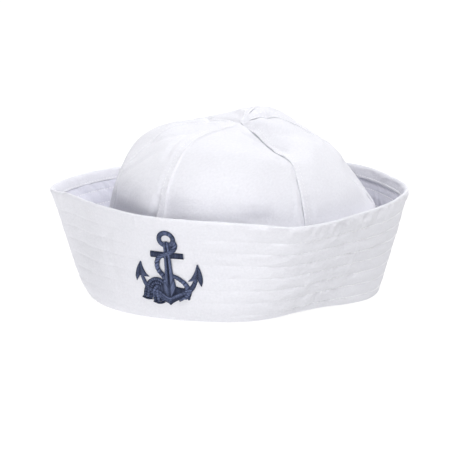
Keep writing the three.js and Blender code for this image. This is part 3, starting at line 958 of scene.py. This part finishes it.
def bilinear(values, row, column):
    """Value between the four nearest entries of a table."""
    i = np.clip(np.floor(row).astype(int), 0, values.shape[0] - 2)
    j = np.clip(np.floor(column).astype(int), 0, values.shape[1] - 2)
    fi = row - i
    fj = column - j
    low = values[i, j] * (1 - fj) + values[i, j + 1] * fj
    high = values[i + 1, j] * (1 - fj) + values[i + 1, j + 1] * fj
    return low * (1 - fi) + high * fi


GORES = [Gore(number) for number in range(GORE_COUNT)]


def gore_columns(gore, along):
    """Distances from the seam of every column at every station."""
    width = np.interp(along, gore.along, gore.width)
    scale = np.interp(along, gore.along, gore.fell_scale)
    edge = EDGE_COLUMNS[:, None] * scale
    share = 1 - (1 - np.linspace(0, 1, PLAIN_COLUMNS + 1)[1:, None]) ** 1.25
    rest = edge[-1] + (width + SEAM_TUCK * scale - edge[-1]) * share
    return np.concatenate([edge, rest])


def gore_surface(gore, across, along):
    """Places on a gore's plain form, its normals there and how far its cloth stands off it."""
    plain, azimuth = gore.at(across, along)
    normals = surface_normals(plain)
    outwards = plain - [0, 0, CROWN_MIDDLE]
    normals = normals * np.sign(np.sum(normals * outwards, axis=-1, keepdims=True))
    return plain, normals, gore.relief(across, along, azimuth, plain[..., 2])


def gore_ends(columns, rows, cloth):
    """Faces that close both ends of a gore's grid, and the cloth places of their corners."""
    k = np.arange(rows // 2 - 1)
    faces = []
    corners = []
    for column in (0, columns - 1):
        first = column * rows
        end = np.stack([first + k, first + k + 1, first + rows - 2 - k, first + rows - 1 - k], axis=-1)
        end = end if column else end[:, ::-1]
        faces.append(end)
        corners.append(cloth[column][end - first].reshape(-1, 2))
    return faces, corners


def crown_gore(gore, finish):
    """One gore as a closed body, replacing its plain panel."""
    along = np.linspace(0, 1, GORE_STATIONS)
    across = gore_columns(gore, along)
    plain, normals, relief = gore_surface(gore, across, np.broadcast_to(along, across.shape))
    above_foot = 1 - bell(along * gore.length, 1.2)
    lift = relief * above_foot
    outside = plain + normals * lift[..., None]

    # The inside is calmer than the outside, and the cloth thins to its edges
    thick = GORE_CLOTH * np.minimum(1, 0.45 + 1.5 * np.minimum(across, across[-1:] - across))
    calm = np.minimum(relief, 0.6) * above_foot * 0.8
    inside = plain + normals * (np.minimum(lift, calm) - thick)[..., None]
    inside[:, 0, 2] = np.maximum(inside[:, 0, 2], plain[:, 0, 2])

    places = np.concatenate([outside, inside[:, ::-1]], axis=1)
    length = along * gore.length
    loop = np.concatenate([length, 2 * gore.length - length[::-1], [2 * gore.length]])
    cloth_across = np.concatenate([across, across[:, ::-1], across[:, :1]], axis=1)
    cloth = np.stack([cloth_across, np.broadcast_to(loop, cloth_across.shape)], axis=-1)
    columns, rows = places.shape[:2]
    end_faces, end_corners = gore_ends(columns, rows, cloth)
    faces = np.concatenate([grid_faces(columns, rows, False)] + end_faces)
    corners = np.concatenate([grid_cloth(cloth)] + end_corners)
    name = f"crown_gore_{gore.number + 1}"
    made = closed_piece(name, places.reshape(-1, 3), faces, corners, finish)
    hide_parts(f"crown_panel_{gore.number + 1}")


# Stitches

def stitch_paths(line, normals, pitch, long, sunk):
    """Single stitches along a line of places: each rises out of the cloth and dips back in."""
    steps = np.linalg.norm(np.diff(line, axis=0), axis=1)
    length = np.concatenate([[0], np.cumsum(steps)])
    count = int(length[-1] / pitch)
    middles = (np.arange(count) + 0.5) * length[-1] / count
    at = middles[:, None] + STITCH["along"] * long
    place = np.stack([np.interp(at, length, line[:, k]) for k in range(3)], axis=-1)
    up = np.stack([np.interp(at, length, normals[:, k]) for k in range(3)], axis=-1)
    up /= np.linalg.norm(up, axis=-1, keepdims=True)
    return place + up * (STITCH["arch"] - sunk)[:, None], up


def stitch_piece(name, lines, pitch, long, sunk, finish):
    """All the stitches of some lines as one mesh. A line is its places and their normals."""
    made = [stitch_paths(line, normals, pitch, long, sunk) for line, normals in lines]
    paths, ups = (np.concatenate(part) for part in zip(*made))
    radii = np.broadcast_to(STITCH_RADIUS * STITCH["radius"], paths.shape[:2])
    places, faces = tubes(paths, radii, ups, 6)
    make_piece(name, places, faces, finish)


def brim_row(row, relief, depth, side):
    """The line of one row of stitches round the brim, on its outside, 1, or its inside, -1."""
    azimuth = np.linspace(0, TURN, 1441)
    up = 1 - row / BRIM_DEPTH
    height = side * (relief(azimuth, row) - pucker(azimuth, "sunk"))
    line = polar(azimuth, *brim_profile(azimuth, up, height, depth))
    above = polar(azimuth, *brim_profile(azimuth, up, height + side, depth))
    return line, above - line


def brim_stitches(finish):
    """Quilting rows on the brim's outside and inside, and the row along its hem."""
    outside = [brim_row(row, outside_relief, 0.0, 1) for row in ROWS]
    stitch_piece("brim_outside_stitches", outside, STITCH_PITCH, STITCH_LONG, OUTSIDE_SUNK,
                 finish)
    inside = [brim_row(row, inside_relief, 2 * PLY + FACING_GAP, -1) for row in INSIDE_ROWS]
    inside.append(brim_row(HEM_DEPTH - HEM_ROW, hem_relief, RIM_THICKNESS, -1))
    stitch_piece("brim_inside_stitches", inside, STITCH_PITCH, STITCH_LONG, INSIDE_SUNK,
                 finish)


def gore_row(gore, across):
    """The line of one row of stitches up a felled edge."""
    along = np.linspace(0.004, 0.965, 400)
    scale = np.interp(along, gore.along, gore.fell_scale)
    band = np.stack([(across + shift) * scale for shift in (-0.3, 0, 0.3)])
    plain, normals, relief = gore_surface(gore, band, np.broadcast_to(along, band.shape))
    return plain[1] + normals[1] * relief[1][:, None], normals[1]


def crown_stitches(finish):
    """Two rows of topstitching up each of the felled seams."""
    lines = [gore_row(gore, row) for gore in GORES for row in FELL_ROWS]
    stitch_piece("crown_seam_stitches", lines, SEAM_PITCH, SEAM_STITCH_LONG, SEAM_SUNK,
                 finish)


# Anchor

def on_brim(across, up, raised):
    """Places on the brim's outside, across and up from the anchor's middle, raised off it."""
    share = ANCHOR_UP + up / brim_slant(ANCHOR_AZIMUTH)
    radius = brim_profile(ANCHOR_AZIMUTH, share)[0]
    azimuth = ANCHOR_AZIMUTH + np.degrees(across / radius)
    cloth = outside_relief(azimuth, (1 - share) * BRIM_DEPTH) * 0.6
    place = polar(azimuth, *brim_profile(azimuth, share, cloth + raised))
    above = polar(azimuth, *brim_profile(azimuth, share, cloth + raised + 1))
    return place, above - place


def edge_line(points, count):
    """Evenly spaced places along a smooth line of the embroidery, and its length."""
    line = smooth_line(points, 24)
    length = np.concatenate([[0], np.cumsum(np.linalg.norm(np.diff(line, axis=0), axis=1))])
    at = np.linspace(0, length[-1], count)
    places = [np.interp(at, length, line[:, k]) for k in range(line.shape[1])]
    return np.stack(places, axis=-1), length[-1]


def satin(left, right, pad, tone, slant=0.0, twist=0.0):
    """Threads laid side by side between two edges, over a pad. Slant moves their right ends
    along, and a twist groups them into the strands of a rope, each of that length."""
    length = max(edge_line(left, 2)[1], edge_line(right, 2)[1])
    count = max(int(length / THREAD_STEP), 3)
    spare = int(abs(slant) / THREAD_STEP)
    back = spare if slant < 0 else 0
    shift = spare if slant > 0 else 0
    first = edge_line(left, count + spare)[0][back:back + count]
    second = edge_line(right, count + spare)[0][shift:shift + count]
    phase = np.arange(count) * THREAD_STEP
    strand = np.sin(np.pi * np.mod(phase / twist, 1)) if twist else np.ones(count)
    widen = 0.9 + 0.1 * strand if twist else np.ones(count)
    middle = (first + second) / 2
    first = middle + (first - middle) * widen[:, None]
    second = middle + (second - middle) * widen[:, None]
    f = np.linspace(0, 1, THREAD_PLACES)
    flat = first[:, None] * (1 - f)[:, None] + second[:, None] * f[:, None]
    arch = np.sin(np.pi * np.clip(f, 0.02, 0.98)) ** 0.55
    raised = (pad * (0.5 + 0.5 * strand))[:, None] * arch
    rng = np.random.default_rng(int(abs(flat[0, 0, 0]) * 10 + count))
    raised = raised + rng.uniform(-0.04, 0.04, (count, 1))
    # Painted light: a thread's tone is darker between a rope's strands, as painted shade, and painted glints
    # raise and lower it along the threads and from thread to thread.
    painted_glints = hills(phase / 0.9, flat[:, 0, 1] * 0, 50 + count)
    shade = tone * ((0.25 + 0.75 * strand if twist else 0.8) + THREAD_PAINTED_GLINT * painted_glints)
    shade = shade + rng.uniform(-THREAD_PAINTED_GLINT, THREAD_PAINTED_GLINT, count) * tone * 0.5
    return np.concatenate([flat, raised[..., None]], axis=-1), shade


def stroke(points, pad, tone, slant=0.0, twist=0.0):
    """Threads across a line whose points are across, up and width."""
    line = edge_line(points, 60)[0]
    ahead = np.gradient(line[:, :2], axis=0)
    ahead /= np.linalg.norm(ahead, axis=1, keepdims=True)
    side = np.stack([-ahead[:, 1], ahead[:, 0]], axis=-1) * line[:, 2:] / 2
    step = slice(None, None, 4)
    return satin((line[:, :2] + side)[step], (line[:, :2] - side)[step], pad, tone, slant, twist)


def oval(middle, radii, width):
    """Points of a round stroke, from its lowest place all the way round."""
    angles = np.radians(np.linspace(-90, 270, 15))
    return [(middle[0] + radii[0] * np.cos(a), middle[1] + radii[1] * np.sin(a), width) for a in angles]


# Painted light and shade: every stroke's tone below stands in for how the light falls on the one navy
# thread, lighter where it would catch the light and darker where it would lie in shade.
def stock_arms_and_ring():
    """The plain bars of the anchor and the ring at its top."""
    stock = [(-12.4, 10.8, 4.5), (0, 10.8, 4.2), (12.6, 10.8, 4.1)]
    left_arm = [(-0.6, -22.2, 4.6), (-9.7, -17.8, 4.4), (-16.8, -12.9, 3.4), (-21.4, -4.2, 2.4)]
    right_arm = [(-0.6, -22.2, 4.6), (8, -16.9, 4.4), (15.2, -12.2, 3.4), (19.6, -3.8, 2.4)]
    return [
        stroke(stock, pad=0.8, tone=0.22),
        stroke(left_arm, pad=0.7, tone=0.42, slant=0.8),
        stroke(right_arm, pad=0.7, tone=0.42, slant=-0.8),
        stroke(oval((0.1, 22.4), (5.1, 4.6), 3.3), pad=0.8, tone=0.45),
    ]


def flukes():
    """Both flukes, each in two halves whose threads slant to its middle; the inner half is painted lighter
    than the outer, as light and shade.
    """
    left_outer = [(-25.1, -9.9), (-25.9, -6.5), (-24.6, -1), (-21.3, 4.5)]
    left_middle = [(-22.6, -6.2), (-22.2, -3.5), (-21.7, 0), (-21.2, 4.4)]
    left_middle_inside = [(-22.4, -6.4), (-22.0, -3.5), (-21.5, 0), (-21.2, 4.4)]
    left_inner = [(-14.9, -5.9), (-17.2, -4.0), (-19.4, -0.3), (-21.0, 4.5)]
    right_inner = [(13.2, -7.1), (15.7, -4.4), (18.3, 0), (20.3, 5.7)]
    right_middle = [(19.8, -5.6), (19.9, -3), (20.2, 1), (20.4, 5.6)]
    right_middle_outside = [(20.0, -5.6), (20.1, -3), (20.3, 1), (20.4, 5.6)]
    right_outer = [(22.2, -10.3), (23.3, -6.4), (22.8, -0.6), (20.6, 5.7)]
    return [
        satin(left_outer, left_middle, pad=0.7, tone=0.26, slant=0.6),
        satin(left_middle_inside, left_inner, pad=0.8, tone=0.34, slant=-0.6),
        satin(right_inner, right_middle, pad=0.8, tone=0.4, slant=0.6),
        satin(right_middle_outside, right_outer, pad=0.7, tone=0.3, slant=-0.6),
    ]


def crown_of_anchor():
    """Where the arms meet: two upper facets painted dark as shade, a line painted light as a highlight, and
    two lower facets, the right one painted darkest.
    """
    upper_left = [(-9.2, -11.7), (-5.0, -10.2), (-0.2, -8.6)]
    under_upper_left = [(-8.9, -14.2), (-4.8, -16.8), (-0.4, -19.4)]
    upper_right = [(0.2, -8.6), (5.0, -11.4), (10.0, -12.4)]
    under_upper_right = [(-0.3, -19.4), (4.4, -17.2), (9.2, -15.4)]
    lower_left = [(-9.0, -15.9), (-4.8, -18.7), (-0.6, -21.0)]
    under_lower_left = [(-8.4, -17.8), (-4.4, -21.2), (-0.7, -25.4)]
    lower_right = [(-0.6, -21.0), (4.6, -18.7), (9.4, -16.6)]
    under_lower_right = [(-0.7, -25.4), (4.8, -21.0), (9.6, -18.4)]
    line = [(-9.0, -15.0, 1.5), (-4.8, -17.8, 1.5), (-0.5, -20.2, 1.5), (4.6, -17.9, 1.5), (9.4, -15.9, 1.5)]
    return [
        satin(upper_left, under_upper_left, pad=0.8, tone=0.3),
        satin(upper_right, under_upper_right, pad=0.8, tone=0.2),
        satin(lower_left, under_lower_left, pad=0.8, tone=0.34),
        satin(lower_right, under_lower_right, pad=0.8, tone=0.12),
        stroke(line, pad=1.0, tone=0.62),
    ]


def rope():
    """From the ring over the stock, behind the shank and down to the rope's loose end."""
    shadow = [(3.0, 19.0, 3.4), (3.4, 13.4, 3.4)]
    upper = [
        (5.2, 21.6, 2.6), (6.4, 18.7, 3.2), (5.2, 15.4, 3.3), (1.8, 12.8, 3.2), (-2.6, 11.3, 3.2),
        (-6.4, 8.8, 3.4), (-8.2, 4.4, 3.5), (-7.3, -0.3, 3.6), (-4.6, -3.6, 3.6), (-2.6, -7.0, 3.4),
        (-1.6, -10.5, 3.0),
    ]
    lower = [
        (2.4, -3.6, 2.4), (6.4, -5.4, 3.0), (10.8, -8.8, 3.3), (13.1, -13.6, 3.4), (11.8, -17.6, 3.2),
        (8.2, -20.6, 2.6),
    ]
    return [
        stroke(shadow, pad=0.7, tone=0.2),
        stroke(upper, pad=1.5, tone=0.58, slant=1.5, twist=2.7),
        stroke(lower, pad=1.5, tone=0.54, slant=1.5, twist=2.7),
    ]


def shank():
    """Two halves, the right one painted lighter as the light falls, with a line of painted shade between
    them.
    """
    line = [(0.1, 20.8, 1.6), (0, 9, 1.8), (0.1, -3, 2.0), (-0.3, -20, 1.6)]
    left = [(-1.9, 20.6), (-2.4, 9), (-2.9, -3), (-4.9, -12)]
    left_of_line = [(-0.2, 21.4), (-0.4, 9), (-0.5, -3), (-0.8, -20)]
    right_of_line = [(0.2, 21.4), (0.4, 9), (0.5, -3), (0.1, -20)]
    right = [(1.9, 20.6), (2.3, 9), (3.1, -3), (4.6, -12)]
    return [
        stroke(line, pad=0.5, tone=0.06),
        satin(left, left_of_line, pad=1.5, tone=0.5, slant=0.9),
        satin(right_of_line, right, pad=1.5, tone=0.6, slant=-0.9),
    ]


def hank(points, pad, tone, slant=0.6, twist=2.0):
    """A twisted strand of a knot."""
    return stroke(points, pad, tone, slant, twist)


def left_knot():
    """Its very dark ground, painted shade between the hanks, two turns, two hanging hanks with a band of
    painted shadow under each, and the strand across them.
    """
    ground = [(-4.0, -9.6, 3.0), (-8.0, -9.4, 5.0), (-11.6, -12.0, 11.0), (-13.2, -17.0, 13.0),
              (-13.6, -20.6, 13.6)]
    ground_below = [(-9.4, -14.0, 5.0), (-9.0, -19.0, 7.0), (-8.4, -23.6, 7.6)]
    outer_turn = [(-3.2, -9.2, 2.0), (-7.5, -7.0, 2.2), (-11.0, -7.1, 2.2), (-14.0, -9.0, 2.2),
                  (-16.4, -13.2, 2.2)]
    inner_turn = [(-5.4, -10.4, 2.0), (-8.4, -9.4, 2.2), (-11.6, -10.2, 2.2), (-13.8, -13.0, 2.0)]
    return [
        # Painted shade: a very dark ground that shows between the knot's strands
        stroke(ground, pad=0.5, tone=0.08),
        stroke(ground_below, pad=0.6, tone=0.08),
        hank(outer_turn, pad=1.5, tone=0.5, slant=0.8, twist=1.9),
        hank(inner_turn, pad=1.3, tone=0.44, slant=0.8, twist=1.9),
        hank([(-17.4, -12.6, 2.2), (-18.3, -17, 2.4), (-19.4, -21.0, 2.4)], pad=1.2, tone=0.34),
        hank([(-15.3, -13.0, 2.2), (-16.0, -17, 2.3), (-16.9, -21.4, 2.4)], pad=1.3, tone=0.5),
        hank([(-13.2, -14.0, 2.0), (-13.8, -18, 2.1), (-14.4, -21.4, 2.2)], pad=1.2, tone=0.38),
        # A band of painted shadow under the left hank
        stroke([(-20.9, -21.0, 1.3), (-17, -21.9, 1.5), (-13.2, -21.5, 1.3)], pad=1.0, tone=0.14),
        hank([(-11.4, -14.6, 2.0), (-12.0, -19, 2.3), (-11.4, -23.4, 2.4)], pad=1.2, tone=0.42),
        hank([(-9.2, -14.0, 2.2), (-9.1, -18.8, 2.4), (-8.6, -23.6, 2.4)], pad=1.4, tone=0.62),
        hank([(-7.0, -15.6, 2.0), (-6.4, -19.2, 2.2), (-5.4, -22.9, 2.4)], pad=1.2, tone=0.44),
        # A band of painted shadow under the right hank
        stroke([(-12.6, -23.5, 1.2), (-8.4, -24.4, 1.5), (-4.2, -23.1, 1.2)], pad=1.0, tone=0.16),
        hank([(-8.2, -10.6, 2.0), (-10.6, -13.6, 2.3), (-12.8, -17.4, 2.0)], pad=1.7, tone=0.66, slant=0.7),
    ]


def right_knot():
    """Its very dark ground, painted shade between the strands, a band over the rope and the rope's frayed
    end.
    """
    ground = [(12.2, -11.6, 4.0), (12.4, -15.0, 5.2), (11.4, -18.6, 4.4)]
    frayed = [(9.4, -19.2, 1.8), (7.6, -20.6, 1.8), (6.0, -21.7, 1.4)]
    return [
        # Painted shade: a very dark ground that shows between the knot's strands
        stroke(ground, pad=0.6, tone=0.08),
        hank([(14.8, -11.8, 2.0), (14.2, -14.4, 2.2), (12.6, -17.0, 1.9)], pad=1.9, tone=0.7, slant=0.7),
        hank([(12.0, -11.0, 1.8), (11.6, -13.6, 2.0), (10.4, -15.8, 1.8)], pad=1.8, tone=0.6, slant=0.7),
        hank(frayed, pad=1.3, tone=0.4, slant=0.5, twist=1.6),
        stroke([(12.6, -18.0, 1.8), (12.9, -19.2, 1.6), (12.6, -20.3, 1.2)], pad=1.2, tone=0.34),
    ]


def anchor(finish):
    """The embroidered anchor as one raised body of threads, whose tone is painted darker towards their ends,
    as shade at the strokes' edges.
    """
    parts = stock_arms_and_ring() + flukes() + crown_of_anchor() + rope() + shank()
    parts += left_knot() + right_knot()
    paths, shade = (np.concatenate(part) for part in zip(*parts))
    places, ups = on_brim(paths[..., 0], paths[..., 1], paths[..., 2] + 0.05)
    radii = np.full(places.shape[:2], THREAD_RADIUS)
    corners, faces = tubes(places, radii, ups, THREAD_SIDES)
    # Painted shade: every thread's tone falls towards both of its ends.
    ends = 0.35 + 0.65 * np.sin(np.pi * np.linspace(0, 1, THREAD_PLACES))
    tone = (shade[:, None] * ends)[..., None] * np.ones(THREAD_SIDES)
    made = make_piece("anchor_threads", corners, faces, finish, tone=tone)
    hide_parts("anchor_embroidery")


# Stage, light and camera

def floor():
    """A plain pale floor under the cap."""
    mesh = bpy.data.meshes.new("floor")
    half = FLOOR_HALF
    corners = [(-half, -half, 0), (half, -half, 0), (half, half, 0), (-half, half, 0)]
    mesh.from_pydata(corners, [], [(0, 1, 2, 3)])
    finish = Finish("pale_floor", Roughness=0.95, Base_Color=(0.12, 0.12, 0.12, 1),
                    Specular_IOR_Level=0.0, Emission_Color=(1, 1, 1, 1), Emission_Strength=0.94)
    mesh.materials.append(finish.material)
    made = bpy.data.objects.new("floor", mesh)
    bpy.context.scene.collection.objects.link(made)


def soft_light(name, place, size, watts):
    """A large square lamp that faces the cap."""
    lamp = bpy.data.lights.new(name, "AREA")
    lamp.size = size
    lamp.energy = watts
    made = bpy.data.objects.new(name, lamp)
    made.location = place
    direction = Vector((0, 0, LIGHT_AIM)) - Vector(place)
    made.rotation_euler = direction.to_track_quat("-Z", "Y").to_euler()
    bpy.context.scene.collection.objects.link(made)


def studio():
    """A soft key light above the front right, and softer ones at the right, in front and behind."""
    world = bpy.data.worlds.new("studio")
    world.use_nodes = True
    background = world.node_tree.nodes["Background"]
    background.inputs["Color"].default_value = (0.92, 0.93, 1.0, 1)
    background.inputs["Strength"].default_value = 0.02
    bpy.context.scene.world = world
    bpy.context.scene.view_settings.view_transform = "Standard"
    soft_light("key", (1.4, -1.25, 2.8), size=1.2, watts=84)
    soft_light("right_light", (2.2, -0.6, 1.8), size=1.4, watts=7)
    soft_light("front_light", (-1.25, -2.9, 0.15), size=1.3, watts=61)
    soft_light("back_light", (0.4, 2.4, 2.0), size=1.6, watts=38)
    soft_light("back_left_light", (-1.7, 1.7, 2.0), size=1.6, watts=48)


def camera():
    """The photograph's view: the cap stands a little above and left of the frame's middle."""
    a = np.radians(CAMERA_AZIMUTH)
    e = np.radians(CAMERA_ELEVATION)
    back = Vector((np.sin(a) * np.cos(e), -np.cos(a) * np.cos(e), np.sin(e)))
    right = Vector((np.cos(a), np.sin(a), 0))
    up = back.cross(right)
    aim = Vector((0, 0, AIM_HEIGHT))
    place = aim + back * CAMERA_DISTANCE
    across = (FRAME_PIXELS / 2 - AIM_PIXEL[0]) * PIXEL
    down = (FRAME_PIXELS / 2 - AIM_PIXEL[1]) * PIXEL
    middle = aim + right * across - up * down
    lens = bpy.data.cameras.new("camera")
    lens.sensor_width = SENSOR
    lens.lens = SENSOR * CAMERA_DISTANCE / (FRAME_PIXELS * PIXEL)
    lens.clip_end = 100
    made = bpy.data.objects.new("camera", lens)
    made.location = place
    made.rotation_euler = (middle - place).to_track_quat("-Z", "Y").to_euler()
    bpy.context.scene.collection.objects.link(made)
    bpy.context.scene.camera = made


camera()
studio()
floor()
twill_white = twill("white_twill_cloth", (0.84, 0.84, 0.89), (0.77, 0.77, 0.82), 0.75, 0.07)
# The facing's twill is a darker, bluer copy of the outer twill: painted shade for the brim's inside.
facing_twill_painted_shade = twill("white_facing_cloth", (0.77, 0.77, 0.85), (0.70, 0.70, 0.78), 0.6, 0.06)
thread_white = white_thread()
for one_gore in GORES:
    crown_gore(one_gore, twill_white)
brim_outer(twill_white)
brim_facing(facing_twill_painted_shade)
crown_stitches(thread_white)
brim_stitches(thread_white)
anchor(navy_thread())
